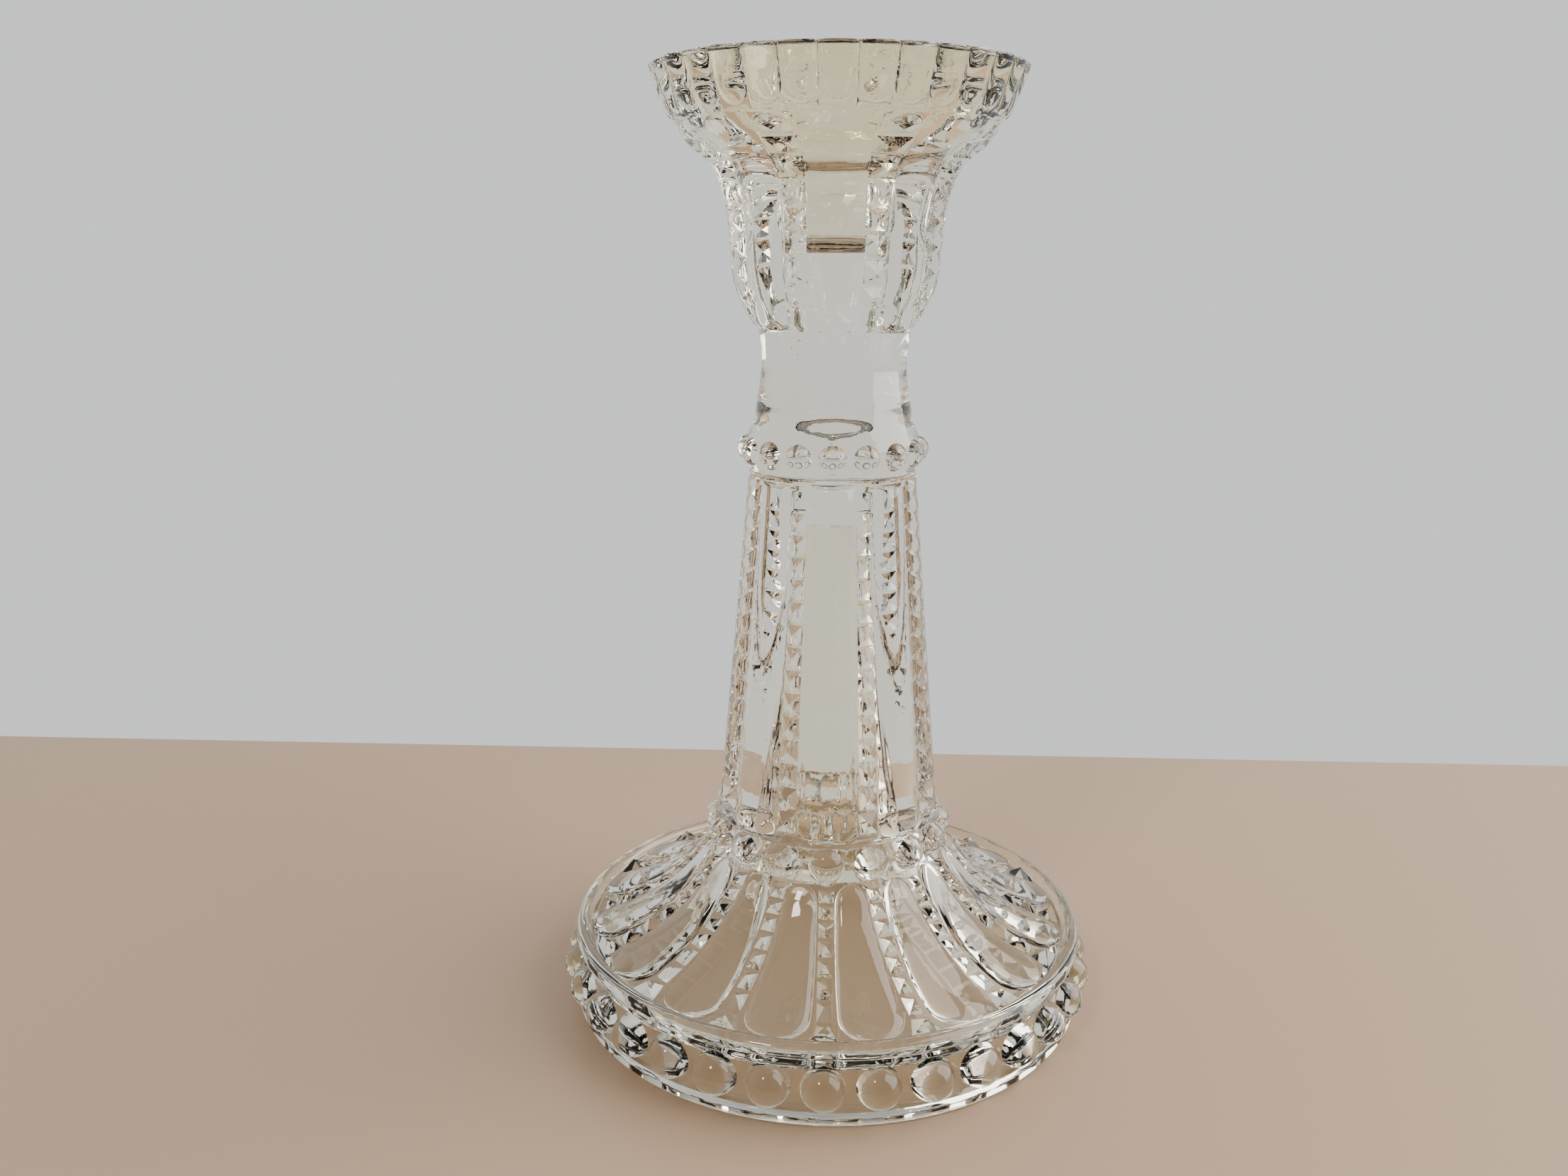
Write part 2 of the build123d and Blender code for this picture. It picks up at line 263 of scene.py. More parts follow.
def sagged(start, end, sag, count=48):
    """A circular arc between two (radius, height) points, bulging sag to the left of the way."""
    start, end = Vector(start), Vector(end)
    half = (end - start) / 2
    ahead = half.normalized()
    side = Vector((-ahead.y, ahead.x)) * math.copysign(1.0, sag)
    radius = (half.length_squared + sag * sag) / (2 * abs(sag))
    centre = start + half + side * (abs(sag) - radius)
    swing = math.asin(half.length / radius)
    turns = [blend(-swing, swing, k / count) for k in range(count + 1)]
    return [centre + radius * (ahead * math.sin(a) + side * math.cos(a)) for a in turns]


def corner(centre, radius, start, end, count=4):
    """A rounded corner: an arc round a (radius, height) centre, from and to angles in degrees."""
    out = []
    for k in range(count + 1):
        a = math.radians(blend(start, end, k / count))
        out.append(Vector((centre[0] + radius * math.cos(a), centre[1] + radius * math.sin(a))))
    return out


def hollow_radius(height):
    """Radius of the hollow in the stem and its ring at a height."""
    top = Z_COLLAR - HOLLOW_ROOF
    return blend(HOLLOW_RING_R, HOLLOW_TOP_R, (height - Z_SKIRT_TOP) / (top - Z_SKIRT_TOP))


def columns(sectors, count):
    """Angles of the columns of one plain sector, with its middle at the front."""
    half = math.pi / sectors
    return [blend(-half, half, k / count) for k in range(count + 1)]


HOLLOW_ARC = sagged((CEILING_R, Z_LEDGE), (HOLLOW_RING_R, Z_SKIRT_TOP), HOLLOW_SAG)
SKIRT_ARC = sagged((RING_R, Z_SKIRT_TOP), (SKIRT_R, Z_SHOULDER), -SKIRT_SAG)
BOWL_ARC = sagged((BOWL_R, Z_TOP), (BORE_R, Z_TOP - BOWL_DEPTH), BOWL_SAG)
CUP_CROWN = smooth_line((16.9, Z_CUP), (21.4, Z_CUP + 9), (23.0, Z_CUP + 23.7),
                        (25.6, Z_CUP + 32.2), (31.7, Z_CUP + 37.9), (CUP_LIP_R, Z_RIM))


# ------------------------------------------------------------------ making a piece
class Moulding:
    """A closed glass piece: rows of (radius, angle, height) for one sector, repeated round Z.

    The rows run round the whole outline of the piece, and end on the axis or where they began.
    """

    def __init__(self, name, sectors, angles):
        self.name, self.sectors, self.angles = name, sectors, angles
        self.rows, self.joints, self.points, self.beads = [], set(), [], []

    def add(self, row):
        self.rows.append(row)
        return len(self.rows) - 1

    def rings(self, *points):
        """Plain level rows, at (radius, height) points."""
        for radius, height in points:
            self.add([(radius, a, height) for a in self.angles])
        return len(self.rows) - 1

    def joint(self, radius, height):
        """A ring that is reached by a face against the next member."""
        self.joints.add(len(self.rows) - 1)
        self.rings((radius, height))

    def point(self, span, first, last, gap, height):
        """A four-sided point on a block of columns span, between two rows."""
        self.points.append((span, first, last, gap, height))

    def bead(self, first, last, centre, radius, base):
        """A round bead on all the columns between two rows. centre is (radius, angle, height),
        and base gives the radius of the plain surface at a height."""
        self.beads.append((first, last, centre, radius, base))

    def sector(self):
        """One sector as a bmesh in millimetres."""
        across, up = len(self.rows[0]) - 1, len(self.rows) - 1
        bm = bmesh.new()
        bmesh.ops.create_grid(bm, x_segments=across, y_segments=up, size=0.5)
        faces = {}
        for face in bm.faces:
            middle = face.calc_center_median()
            at = int((middle.x + 0.5) * across), int((middle.y + 0.5) * up)
            faces[at] = face
            face.material_index = JOINT_SLOT if at[1] in self.joints else GLASS_SLOT
        for vert in bm.verts:
            row, column = round((vert.co.y + 0.5) * up), round((vert.co.x + 0.5) * across)
            radius, angle, height = self.rows[row][column]
            vert.co = (radius * math.sin(angle), -radius * math.cos(angle), height)
        for span, first, last, gap, height in self.points:
            block = [faces[c, r] for c in range(*span) for r in range(first, last)]
            raise_point(bm, block, gap, height)
        for first, last, centre, radius, base in self.beads:
            block = [faces[c, r] for c in range(across) for r in range(first, last)]
            raise_bead(bm, block, centre, radius, base)
        return bm

    def make(self, *bubbles):
        """The whole piece. Each bubble is (radius, angle, height, size), inside the glass."""
        bm = self.sector()
        turn = 2 * math.pi / self.sectors
        bmesh.ops.spin(
            bm, geom=bm.verts[:] + bm.edges[:] + bm.faces[:], cent=(0, 0, 0), axis=(0, 0, 1),
            dvec=(0, 0, 0), angle=-turn * (self.sectors - 1), steps=self.sectors - 1,
            use_merge=False, use_duplicate=True,
        )
        bmesh.ops.remove_doubles(bm, verts=bm.verts, dist=0.004)
        bmesh.ops.recalc_face_normals(bm, faces=bm.faces)
        for radius, angle, height, size in bubbles:
            place = Matrix.Translation((radius * math.sin(angle), -radius * math.cos(angle), height))
            ball = bmesh.ops.create_icosphere(bm, subdivisions=3, radius=size, matrix=place)
            bmesh.ops.reverse_faces(bm, faces=list({f for v in ball["verts"] for f in v.link_faces}))
        return finished(self.name, bm)


def outward_of(face):
    """The side of a face that looks away from the glass, as a unit vector."""
    face.normal_update()
    middle = face.calc_center_median()
    away = Vector((middle.x, middle.y, 0)).normalized() + Vector((0, 0, 0.5))
    return face.normal if face.normal.dot(away) > 0 else -face.normal


def raise_point(bm, block, gap, height):
    """Turns a block of faces into one four-sided point with a plain margin."""
    face = bmesh.ops.dissolve_faces(bm, faces=block)["region"][0]
    outward = outward_of(face).copy()
    bmesh.ops.inset_individual(bm, faces=[face], thickness=gap, use_even_offset=True)
    tip = bmesh.ops.poke(bm, faces=[face], offset=0)["verts"][0]
    tip.co += outward * height


def raise_bead(bm, block, centre, radius, base, rings=7):
    """Turns a block of faces into a round bead with its crease on the plain surface."""
    reach, angle, height = centre
    out = Vector((math.sin(angle), -math.cos(angle), 0))
    across = Vector((math.cos(angle), math.sin(angle), 0))
    up = Vector((0, 0, 1))
    middle = out * reach + up * height

    def on_ball(turn, lean):
        tangent = across * math.cos(turn) + up * math.sin(turn)
        return middle + radius * (out * math.cos(lean) + tangent * math.sin(lean))

    def seat(turn):
        low, high = 0.0, math.radians(125)
        for _ in range(24):
            lean = (low + high) / 2
            at = on_ball(turn, lean)
            if math.hypot(at.x, at.y) > base(at.z):
                low = lean
            else:
                high = lean
        return low

    face = bmesh.ops.dissolve_faces(bm, faces=block)["region"][0]
    for k in range(rings, 0, -1):
        bmesh.ops.inset_individual(bm, faces=[face], thickness=0.01)
        for vert in face.verts:
            away = vert.co - middle
            turn = math.atan2(away.dot(up), away.dot(across))
            vert.co = on_ball(turn, seat(turn) * k / rings)
    bmesh.ops.poke(bm, faces=[face])["verts"][0].co = on_ball(0, 0)


def finished(name, bm):
    """A piece from a bmesh in millimetres, smooth except at its hard edges."""
    for face in bm.faces:
        face.smooth = True
    for edge in bm.edges:
        edge.smooth = edge.is_manifold and edge.calc_face_angle() < HARD_EDGE
    bmesh.ops.scale(bm, vec=(MM, MM, MM), verts=bm.verts)
    mesh = bpy.data.meshes.new(name)
    bm.to_mesh(mesh)
    bm.free()
    piece = bpy.data.objects.new(name, mesh)
    bpy.context.scene.collection.objects.link(piece)
    mesh.materials.append(GLASS)
    mesh.materials.append(JOINT)
    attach(piece, "root")
    return piece


# ------------------------------------------------------------------ materials
class Wire:
    """A number on a socket, so that node maths reads as plain sums."""

    def __init__(self, finish, socket):
        self.finish, self.socket = finish, socket

    def sum(self, operation, *values):
        return self.finish.node("ShaderNodeMath", {"operation": operation}, *values)

    def __add__(self, other):
        return self.sum("ADD", self, other)

    def __mul__(self, other):
        return self.sum("MULTIPLY", self, other)

    def __pow__(self, other):
        return self.sum("POWER", self, other)


class Finish:
    """A material built round one Principled shader."""

    def __init__(self, name):
        self.material = bpy.data.materials.new(name)
        self.material.use_nodes = True
        self.tree = self.material.node_tree
        self.shader = self.tree.nodes["Principled BSDF"]

    def node(self, kind, settings=None, *values, output=0, **named):
        """Adds a node, sets it, feeds its sockets, and gives back one output."""
        made = self.tree.nodes.new(kind)
        for key, value in (settings or {}).items():
            setattr(made, key, value)
        wanted = [(k, v) for k, v in enumerate(values)]
        wanted += [(key.replace("_", " "), v) for key, v in named.items()]
        for key, value in wanted:
            self.feed(made.inputs[key], value)
        return Wire(self, made.outputs[output])

    def feed(self, socket, value):
        if isinstance(value, Wire):
            self.tree.links.new(value.socket, socket)
        else:
            socket.default_value = value

    def colours(self, factor, low, high):
        """A colour between two others."""
        mixed = self.node("ShaderNodeMix", {"data_type": "RGBA"}, output=2)
        inputs = mixed.socket.node.inputs
        self.feed(inputs[0], factor)
        self.feed(inputs[6], (*low, 1.0))
        self.feed(inputs[7], (*high, 1.0))
        return mixed

    def set(self, **named):
        for key, value in named.items():
            self.feed(self.shader.inputs[key.replace("_", " ")], value)


def clear_glass():
    """Fire-polished soda glass: a straw tint, stronger at the rim, where the deeper straw is partly the
    glass's own tint and partly painted warm light and a painted reflection of the table; slow waves and
    flow marks.
    """
    finish = Finish("clear_glass")
    place = finish.node("ShaderNodeTexCoord", output=3)
    split = finish.node("ShaderNodeSeparateXYZ", None, place, output=2)
    # Mask for the deeper straw near the rim: partly the glass's own tint, partly painted warm light and
    # a painted reflection of the wooden table.
    rim_tint_and_warm_light = finish.node("ShaderNodeMapRange", None, split, RIM_TINT_AND_LIGHT_LOW, RIM_TINT_AND_LIGHT_HIGH, 0.0, 1.0)
    waves = finish.node("ShaderNodeTexNoise", None, Vector=place, Scale=95.0, Detail=1.5)
    streaks = finish.node("ShaderNodeTexNoise", None, Vector=place, Scale=420.0, Detail=2.0)
    tone = finish.node("ShaderNodeTexNoise", None, Vector=place, Scale=28.0, Detail=1.0)
    # Base colour: the straw tint with random tone, plus painted warm light near the rim.
    straw_and_warm_light = finish.colours(tone * 0.5 + rim_tint_and_warm_light * tone * 0.8, PALE_STRAW, DEEP_STRAW_AND_WARM_LIGHT)
    relief = waves + streaks * 0.12
    bump = finish.node("ShaderNodeBump", None, Strength=0.35, Distance=0.0006, Height=relief)
    finish.set(Base_Color=straw_and_warm_light, Roughness=streaks ** 3 * 0.05, Normal=bump,
               Transmission_Weight=1.0, IOR=GLASS_INDEX)
    return finish.material


def hidden_joint():
    """The face where two members of the same fused glass meet, where there is nothing to see."""
    finish = Finish("glass_joint")
    finish.set(Base_Color=(1, 1, 1, 1), Alpha=0.0, Roughness=0.0)
    return finish.material


GLASS = clear_glass()
JOINT = hidden_joint()


# ------------------------------------------------------------------ foot
def make_foot_rim():
    rim = Moulding("foot_rim_glass", FOOT_BEADS, columns(FOOT_BEADS, 8))
    rim.rings((CEILING_R, Z_LEDGE), (CEILING_R + 0.3, Z_LEDGE * 0.6), (FOOT_INNER_R - 0.3, 1.2))
    rim.rings(*corner((FOOT_INNER_R + 0.8, 0.9), 0.9, 180, 270))
    rim.rings(*corner((FLANGE_R - 0.9, 0.9), 0.9, 270, 360))
    rim.rings(*corner((FLANGE_R - 0.7, Z_BAND - 0.7), 0.7, 0, 90))
    low = rim.rings((BAND_R, Z_BAND))
    for k in range(1, BEAD_ROWS + 1):
        high = rim.rings((BAND_R, blend(Z_BAND, Z_BAND_TOP - 1.0, k / BEAD_ROWS)))
    rim.rings((BAND_R, Z_BAND_TOP - 0.3))
    rim.rings(*corner((BAND_R, Z_SHOULDER), SHOULDER_ROUND, -68, 150, 12))
    rim.rings((SKIRT_R, Z_SHOULDER))
    rim.joint(SKIRT_R, Z_LEDGE)
    rim.joint(CEILING_R, Z_LEDGE)
    middle = Z_BAND + 0.05 + FOOT_BEAD_R
    rim.bead(low, high, (BAND_R, 0, middle), FOOT_BEAD_R, lambda z: BAND_R)
    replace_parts(rim.make(), "foot_rim", "foot_rim_beads")


def skirt_cells(total):
    """Where each point of a row begins and ends down the skirt, and the fan after them."""
    fan = total - LOBE_STOP - FAN_LENGTH
    cells, here = [], SKIRT_POINT_START
    for pitch in growing(fan - here, SKIRT_POINTS, SKIRT_POINT_GROWTH):
        margin = pitch * (1 - SKIRT_POINT_FILL) / 2
        cells.append((here + margin, here + pitch - margin))
        here += pitch
    return [*cells, (fan + 0.3, fan + FAN_LENGTH - 0.2)]


def skirt_stops(total, cells):
    """Distances down the skirt of all the rows that shape it."""
    stops = {0.0, LOBE_START, total - LOBE_STOP, total}
    for cell in cells:
        stops.update(cell)
    soft = [LOBE_START + LOBE_TOP_ROUND * (1 - math.cos(k * math.pi / 16)) for k in range(1, 9)]
    soft += [total - LOBE_STOP - LOBE_END_ROUND * (1 - math.cos(k * math.pi / 20))
             for k in range(1, 11)]
    soft += [total * k / 48 for k in range(1, 48)]
    for mark in soft:
        if min(abs(mark - stop) for stop in stops) > 0.22:
            stops.add(mark)
    return sorted(stops)


def skirt_row(mark, total, here, normal, cells):
    """One level row of the skirt: a point of the strip, a flat, a lobe and a flat."""
    step = 2 * math.pi / ROWS
    gap = blend(*ROW_HALF, (mark / total) ** 3)
    top = swell(max(0, mark - LOBE_START) / LOBE_TOP_ROUND)
    end = swell(max(0, total - LOBE_STOP - mark) / LOBE_END_ROUND)
    half_lobe = max((here.x * math.sin(step / 2) - gap) * top * end, 0.3)
    fan = min(max((mark - cells[-1][0]) / FAN_LENGTH, 0), 1)
    room = here.x * math.sin(step / 2) - half_lobe - 0.1
    half_point = min(blend(SKIRT_POINT_HALF, FAN_HALF, fan), room)
    flat = [(half_point * (c / 2 - 1) / here.x, 0.0) for c in range(5)]
    lobe = []
    for c in range(15):
        s = math.sin(blend(-math.pi / 2, math.pi / 2, c / 14))
        lift = LOBE_HEIGHT * math.sqrt(max(0, 1 - s ** 4)) * math.sqrt(top * end)
        lobe.append((step / 2 + half_lobe * s / here.x, lift))
    out = []
    for angle, lift in [*flat, *lobe, (step + flat[0][0], 0.0)]:
        moved = here + normal * lift
        out.append((moved.x, angle, moved.y))
    return out


def make_skirt():
    total = lengths_of(SKIRT_ARC)[-1]
    cells = skirt_cells(total)
    stops = skirt_stops(total, cells)
    line = along(SKIRT_ARC, stops)
    rows = []
    for k, (mark, here) in enumerate(zip(stops, line)):
        ahead = (line[min(k + 1, len(line) - 1)] - line[max(k - 1, 0)]).normalized()
        rows.append(skirt_row(mark, total, here, Vector((-ahead.y, ahead.x)), cells))
    skirt = Moulding("skirt_glass", ROWS, [angle for _, angle, _ in rows[-1]])
    skirt.rings(*evenly(HOLLOW_ARC, 28)[::-1])
    skirt.joint(SKIRT_R, Z_LEDGE)
    skirt.joint(SKIRT_R, Z_SHOULDER)
    row_at = {}
    for mark, row in list(zip(stops, rows))[-2::-1]:
        row_at[mark] = skirt.add(row)
    for first, last in cells[:-1]:
        skirt.point((0, 4), row_at[last], row_at[first], SKIRT_POINT_INSET, SKIRT_POINT_HEIGHT)
    skirt.point((0, 4), row_at[cells[-1][1]], row_at[cells[-1][0]], SKIRT_POINT_INSET, FAN_HEIGHT)
    skirt.joints.add(len(skirt.rows) - 1)
    skirt.add(list(skirt.rows[0]))
    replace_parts(skirt.make(), "skirt", "skirt_lobes", "skirt_points")


def make_foot_collar():
    ring = Moulding("foot_collar_glass", ROWS, columns(ROWS, 10))
    ring.rings(*[(hollow_radius(z), z) for z in (Z_SKIRT_TOP, blend(Z_SKIRT_TOP, Z_STEM, 0.5), Z_STEM)])
    ring.joint(STEM_SEAT_R, Z_STEM)
    ring.rings(*corner((RING_R - RING_ROUND, Z_STEM - RING_ROUND), RING_ROUND, 90, 0))
    high = len(ring.rows) - 1
    for k in range(1, BEAD_ROWS + 1):
        low = ring.rings((RING_R, blend(Z_STEM - RING_ROUND, Z_SKIRT_TOP + 0.15, k / BEAD_ROWS)))
    ring.rings((RING_R, Z_SKIRT_TOP))
    ring.joint(HOLLOW_RING_R, Z_SKIRT_TOP)
    centre = RING_BEAD_REACH - RING_BEAD_R, 0, (Z_SKIRT_TOP + Z_STEM) / 2 - 0.1
    ring.bead(high, low, centre, RING_BEAD_R, lambda z: RING_R)
    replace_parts(ring.make(), "foot_collar", "foot_collar_beads")


# ------------------------------------------------------------------ panels and strips
def panel_shares():
    """Places of a panel's columns across it, from -1 to 1, closer together at its sides."""
    turns = [blend(-math.pi / 2, math.pi / 2, k / PANEL_COLUMNS) for k in range(PANEL_COLUMNS + 1)]
    return [blend(a / (math.pi / 2), math.sin(a), 0.6) for a in turns]


def panel_angles(strip):
    """Angles of the columns of a strip and a panel."""
    half = math.pi / PANELS - strip
    return [-math.pi / PANELS - strip, *(half * t for t in panel_shares())]


def panel_row(shape, strip, low, high=None):
    """One row over a strip and a panel. shape gives the radius beside the strip, the crown's, and
    how full the panel is, at a height. The row is low at the panel's middle, high at the strip."""
    high = low if high is None else high
    half = math.pi / PANELS - strip
    row = []
    for t in panel_shares():
        height = high - (high - low) * math.sqrt(1 - t * t)
        edge, crown, full = shape(height)
        side, chord = edge * math.sin(half) * t, edge * math.cos(half)
        out = blend(chord, crown, 1 - t * t)
        row.append((blend(edge, math.hypot(side, out), full), math.atan2(side, out), height))
    edge, _, _ = shape(high)
    return [(edge, -math.pi / PANELS - strip, high), *row]


# ------------------------------------------------------------------ stem
def plunger_mark(angle, height):
    """Ripples that the plunger leaves on the hollow's wall, strongest low in the stem."""
    low = min(max((Z_STEM + RIPPLE_REACH - height) / RIPPLE_REACH, 0), 1)
    spot = Vector((math.sin(angle * PANELS) * 2.2, math.cos(angle * PANELS) * 2.2, height * 0.16))
    return blend(0.05, 0.28, low) * noise.noise(spot)


def stem_shape(height):
    crown = blend(STEM_FOOT_R, STEM_TOP_R, (height - Z_STEM) / (Z_COLLAR - Z_STEM))
    foot = 1 - swell((height - Z_STEM) / STEM_FOOT_LEDGE)
    top = 1 - swell((Z_COLLAR - height) / STEM_TOP_LEDGE)
    edge = blend(crown - STEM_RECESS, STEM_SEAT_R, foot)
    edge = blend(edge, STEM_HEAD_R, top)
    return edge, crown, (1 - foot) * (1 - top)


def make_stem():
    stem = Moulding("stem_glass", PANELS, panel_angles(STEM_STRIP))
    roof = Z_COLLAR - HOLLOW_ROOF
    stem.rings((0, roof), (HOLLOW_TOP_R * 0.5, roof))
    stem.rings(*corner((HOLLOW_TOP_R - 0.8, roof - 0.8), 0.8, 90, 0))
    walls = 30
    for k in range(1, walls):
        height = blend(roof - 0.8, Z_STEM, k / walls)
        wall = hollow_radius(height)
        stem.add([(wall + plunger_mark(a, height), a, height) for a in stem.angles])
    stem.rings((hollow_radius(Z_STEM), Z_STEM))
    stem.joint(STEM_SEAT_R, Z_STEM)
    for lift in (0.08, 0.3, 0.7):
        stem.add(panel_row(stem_shape, STEM_STRIP, Z_STEM + lift))
    height = Z_STEM + STEM_FOOT_LEDGE
    before = stem.add(panel_row(stem_shape, STEM_STRIP, height))
    for pitch in growing(Z_COLLAR - STEM_TOP_LEDGE - height, STEM_POINTS, 1 / STEM_POINT_GROWTH):
        stem.add(panel_row(stem_shape, STEM_STRIP, height + pitch / 2))
        height += pitch
        after = stem.add(panel_row(stem_shape, STEM_STRIP, height))
        stem.point((0, 1), before, after, STEM_POINT_INSET, STEM_POINT_HEIGHT)
        before = after
    for drop in (0.5, 0.25, 0.08):
        stem.add(panel_row(stem_shape, STEM_STRIP, Z_COLLAR - drop))
    stem.rings((STEM_HEAD_R, Z_COLLAR))
    stem.joint(0, Z_COLLAR)
    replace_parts(stem.make(), "stem", "stem_points")


# ------------------------------------------------------------------ collar and neck
def make_collar():
    bell = Moulding("collar_glass", ROWS, columns(ROWS, 8))
    bell.rings((0, Z_COLLAR))
    bell.joint(STEM_HEAD_R, Z_COLLAR)
    bell.rings(*corner((COLLAR_LIP_R - 0.7, Z_COLLAR + 0.8), 0.7, -80, 60))
    bell.rings((COLLAR_LIP_R - 0.3, Z_COLLAR + 1.9))
    low = bell.rings((COLLAR_SIDE_R, Z_BELL_LOW))
    line = smooth_line((COLLAR_SIDE_R, Z_BELL_LOW), (COLLAR_R, Z_COLLAR_BEAD),
                       (COLLAR_R - 0.25, Z_COLLAR_BEAD + 3.0), (COLLAR_TOP_R, Z_NECK))
    for k in range(1, BEAD_ROWS + 1):
        level = blend(Z_BELL_LOW, Z_BELL_HIGH, k / BEAD_ROWS)
        high = bell.rings((at_height(line, level), level))
    bell.rings(*evenly(between(line, Z_BELL_HIGH, Z_NECK), 4)[1:])
    bell.joint(0, Z_NECK)
    centre = COLLAR_BEAD_REACH - COLLAR_BEAD_R, 0, Z_COLLAR_BEAD
    bell.bead(low, high, centre, COLLAR_BEAD_R, lambda z: at_height(line, z))
    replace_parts(bell.make(), "collar", "collar_beads")


def make_neck():
    neck = Moulding("neck_glass", 24, columns(24, 4))
    neck.rings((0, Z_NECK))
    neck.joint(COLLAR_TOP_R, Z_NECK)
    foot = smooth_line((COLLAR_TOP_R, Z_NECK), (17.0, Z_NECK + 2.2), (16.5, Z_NECK + 4.9))
    waist = smooth_line((16.5, Z_NECK + 5.2), (NECK_WAIST_R, Z_NECK + 12.4), (NECK_TOP_R, Z_CUP))
    neck.rings(*evenly(foot, 6)[1:])
    neck.rings(*evenly(waist, 14))
    neck.joint(0, Z_CUP)
    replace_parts(neck.make(*NECK_BUBBLES), "neck")


# ------------------------------------------------------------------ cup and rim
def cup_shape(height):
    crown = at_height(CUP_CROWN, height)
    up = height - Z_CUP
    down = Z_RIM - height
    ledge = min(max((RIM_LEDGE + 1.2 - down) / 1.2, 0), 1)
    edge = max(crown - CUP_RECESS * min(1, up / 5) * blend(1, 0.3, ledge), NECK_TOP_R)
    return edge, crown, swell(up / 2.4) * swell(max(0, down - RIM_LEDGE) / 1.6)


def cup_strip(height):
    """Half angle of the strips, wider where the cup flares."""
    return blend(CUP_STRIP, CUP_LIP_STRIP, min(max((height - Z_CUP - 26) / 16, 0), 1))


def make_cup():
    cup = Moulding("cup_glass", PANELS, panel_angles(CUP_STRIP))
    cup.rings((0, Z_CUP))
    cup.joint(NECK_TOP_R, Z_CUP)
    stop = Z_RIM - 0.3
    strip_line = between(CUP_CROWN, Z_CUP + CUP_SCALLOP, stop)
    for share in (0.3, 0.65):
        cup.add(panel_row(cup_shape, CUP_STRIP, Z_CUP + 0.2 * share,
                          Z_CUP + CUP_SCALLOP * share))
    before = None
    for k, here in enumerate(evenly(strip_line, 4 * CUP_POINTS)):
        tail = max(0, 1 - (here.y - Z_CUP - CUP_SCALLOP) / 13) ** 2
        low = here.y - (CUP_SCALLOP - 0.25) * tail
        row = cup.add(panel_row(cup_shape, cup_strip(here.y), low, here.y))
        if k % 4 == 0:
            if before is not None:
                cup.point((0, 1), before, row, CUP_POINT_INSET, CUP_POINT_HEIGHT)
            before = row
    cup.rings((RIM_SEAT_R, Z_RIM))
    bowl = between(BOWL_ARC, Z_TOP - BOWL_DEPTH + 0.6, Z_RIM)
    cup.joint(*bowl[0])
    cup.rings(*evenly(bowl, 10)[1:])
    floor = Z_TOP - BOWL_DEPTH - BORE_DEPTH
    for k in range(6):
        cup.rings((BORE_R, blend(Z_TOP - BOWL_DEPTH - 0.5, floor + BORE_ROUND + 0.4, k / 5)))
    cup.rings(*corner((BORE_R - BORE_ROUND, floor + BORE_ROUND), BORE_ROUND, 0, -90, 10))
    cup.rings((0, floor))
    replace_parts(cup.make(), "cup", "cup_points")


def make_rim():
    turns = [math.radians(a) for a in range(-90, 91, 15)]
    rim = Moulding("rim_glass", PADS, [math.sin(a) * math.pi / PADS for a in turns])
    bowl = between(BOWL_ARC, Z_RIM, Z_TOP - 0.5)
    rim.rings(*reversed(evenly(bowl, 14)))
    rim.rings((BOWL_R - 0.1, Z_TOP - 0.12), (BOWL_R + 0.5, Z_TOP), (blend(BOWL_R, RIM_R, 0.5), Z_TOP))

    def valley(height):
        return blend(RIM_FOOT_R, RIM_R, (height - Z_RIM) / (Z_TOP - Z_RIM)) - PAD_DEPTH

    def pad(heights, bulge, inset=0.0):
        rim.add([(valley(z) + PAD_DEPTH * math.cos(a) * bulge - inset, math.sin(a) * math.pi / PADS, z)
                 for a, z in zip(turns, heights)])

    pad([Z_TOP] * len(turns), 1, 0.9)
    pad([Z_TOP - 0.1] * len(turns), 1, 0.4)
    pad([Z_TOP - 0.35] * len(turns), 1, 0.1)
    foot = [Z_RIM + 0.7 + PAD_SCALLOP * (1 - math.cos(a)) for a in turns]
    for k in range(11):
        share = math.sin(k / 10 * math.pi / 2)
        bulge = swell((1 - share) / 0.34)
        pad([blend(Z_TOP - 0.75, z, share) for z in foot], bulge)
    pad([blend(z, Z_RIM + 0.3, 0.6) for z in foot], 0)
    rim.rings((RIM_SEAT_R, Z_RIM))
    rim.joint(*bowl[-1])
    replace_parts(rim.make(RIM_BUBBLE), "rim")


make_foot_rim()
make_skirt()
make_foot_collar()
make_stem()
make_collar()
make_neck()
make_cup()
make_rim()


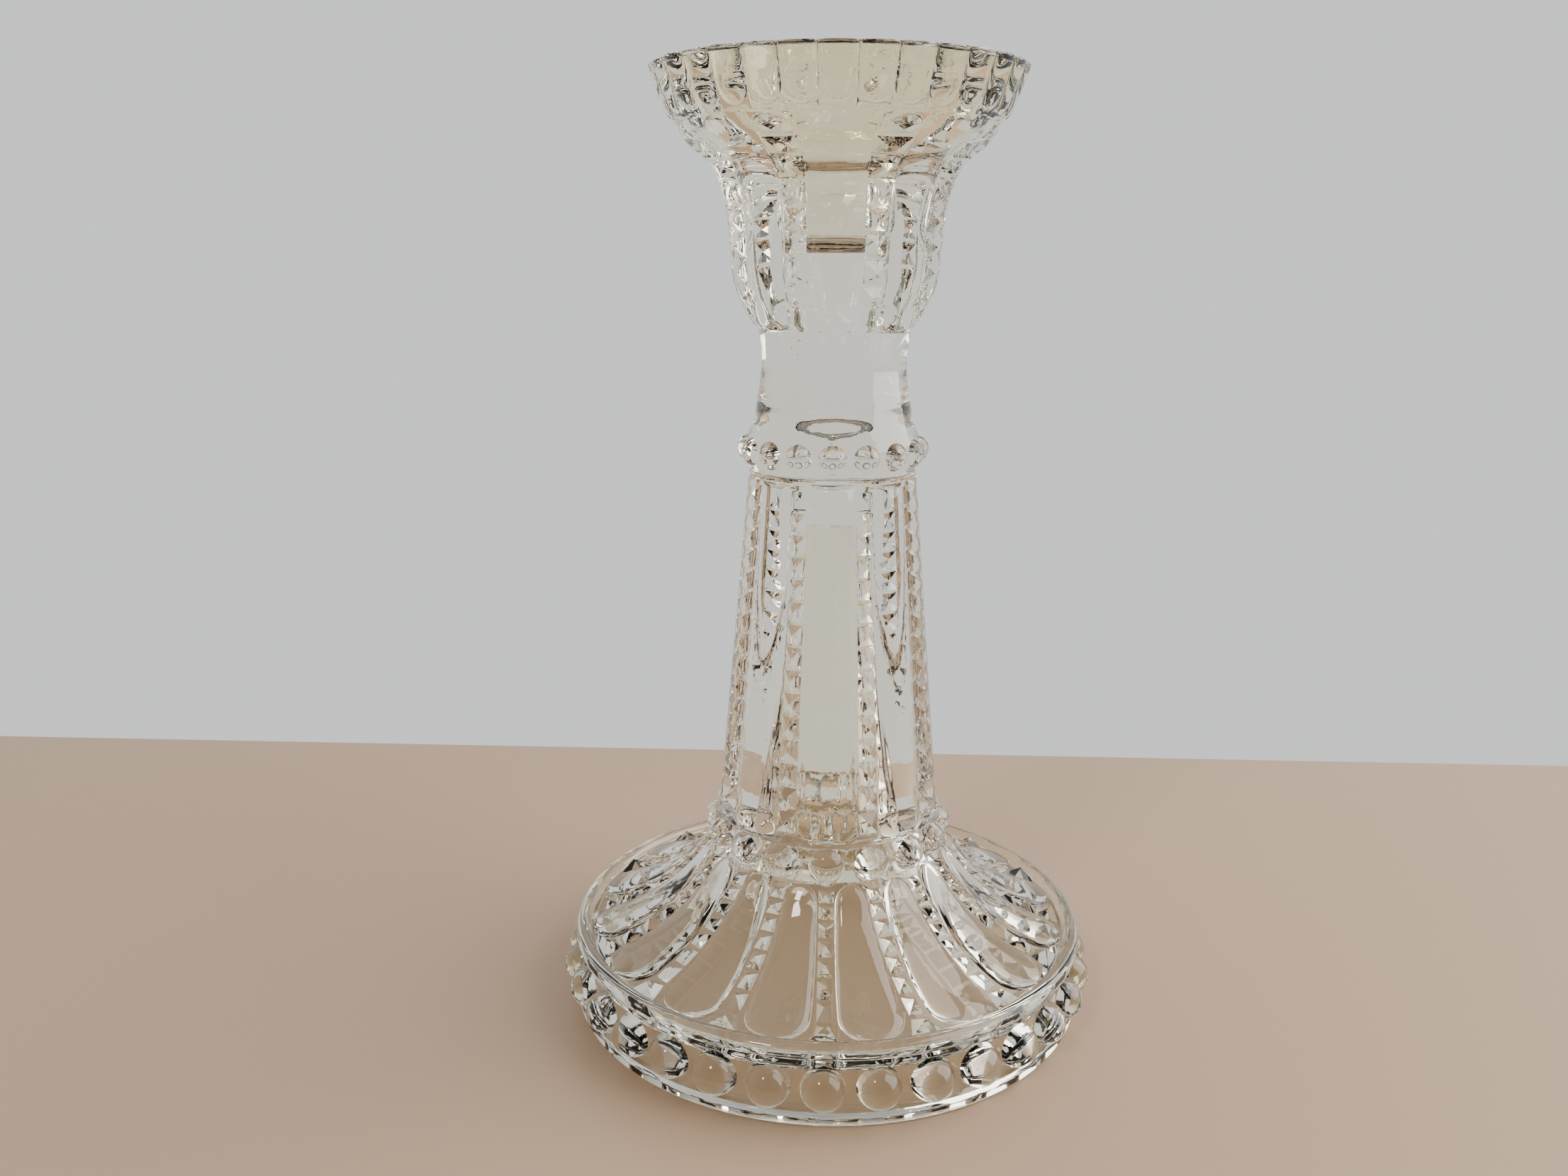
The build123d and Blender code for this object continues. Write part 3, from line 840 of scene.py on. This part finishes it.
# ------------------------------------------------------------------ studio
def make_table():
    """A plain pale table top whose far edge lies a little way behind the object."""
    bm = bmesh.new()
    bmesh.ops.create_cube(bm, size=1)
    bmesh.ops.scale(bm, vec=TABLE_SIZE, verts=bm.verts)
    _, depth, thick = TABLE_SIZE
    middle = 0, TABLE_BACK - depth / 2, -thick / 2 - TABLE_GAP
    bmesh.ops.translate(bm, vec=middle, verts=bm.verts)
    bmesh.ops.bevel(bm, geom=bm.edges[:], offset=0.002, segments=2, profile=0.5,
                    affect="EDGES", material=-1)
    mesh = bpy.data.meshes.new("table")
    bm.to_mesh(mesh)
    bm.free()
    table = bpy.data.objects.new("table", mesh)
    bpy.context.scene.collection.objects.link(table)
    finish = Finish("table_top")
    finish.set(Base_Color=(0.44, 0.30, 0.20, 1), Roughness=0.45)
    mesh.materials.append(finish.material)


def make_light(name, place, aim, size, power, colour):
    data = bpy.data.lights.new(name, "AREA")
    data.shape, data.size, data.size_y = "RECTANGLE", size[0], size[1]
    data.energy, data.color = power, colour
    light = bpy.data.objects.new(name, data)
    bpy.context.scene.collection.objects.link(light)
    light.location = place
    light.rotation_euler = (Vector(aim) - Vector(place)).to_track_quat("-Z", "Y").to_euler()


def make_world():
    """A studio that is light behind the object and dim on the camera's side."""
    world = bpy.data.worlds.new("studio")
    bpy.context.scene.world = world
    world.use_nodes = True
    tree = world.node_tree
    place = tree.nodes.new("ShaderNodeTexCoord")
    split = tree.nodes.new("ShaderNodeSeparateXYZ")
    ramp = tree.nodes.new("ShaderNodeMapRange")
    tree.links.new(place.outputs["Generated"], split.inputs[0])
    tree.links.new(split.outputs["Y"], ramp.inputs["Value"])
    tree.links.new(ramp.outputs["Result"], tree.nodes["Background"].inputs["Strength"])
    for name, value in (("From Min", -0.7), ("From Max", 0.5), ("To Min", 0.30), ("To Max", 1.25)):
        ramp.inputs[name].default_value = value
    tree.nodes["Background"].inputs["Color"].default_value = (0.72, 0.73, 0.74, 1)


def make_camera():
    data = bpy.data.cameras.new("camera")
    data.lens, data.sensor_width = CAMERA_LENS, CAMERA_SENSOR
    camera = bpy.data.objects.new("camera", data)
    bpy.context.scene.collection.objects.link(camera)
    turn = Matrix.Rotation(math.radians(CAMERA_TURN), 4, "Z")
    tilt = Matrix.Rotation(math.radians(90 - CAMERA_DIP), 4, "X")
    roll = Matrix.Rotation(math.radians(CAMERA_ROLL), 4, "Z")
    camera.matrix_world = Matrix.Translation(CAMERA_PLACE) @ turn @ tilt @ roll
    bpy.context.scene.camera = camera


make_table()
make_light("window", (1.05, 0.05, 0.75), (0, 0, 0.1), (1.5, 1.5), 34, (1.0, 0.98, 0.95))
make_light("lamp", (-0.35, -0.55, 0.75), (0, 0, 0.1), (0.14, 0.14), 2.2, (1.0, 0.93, 0.82))
make_world()
make_camera()
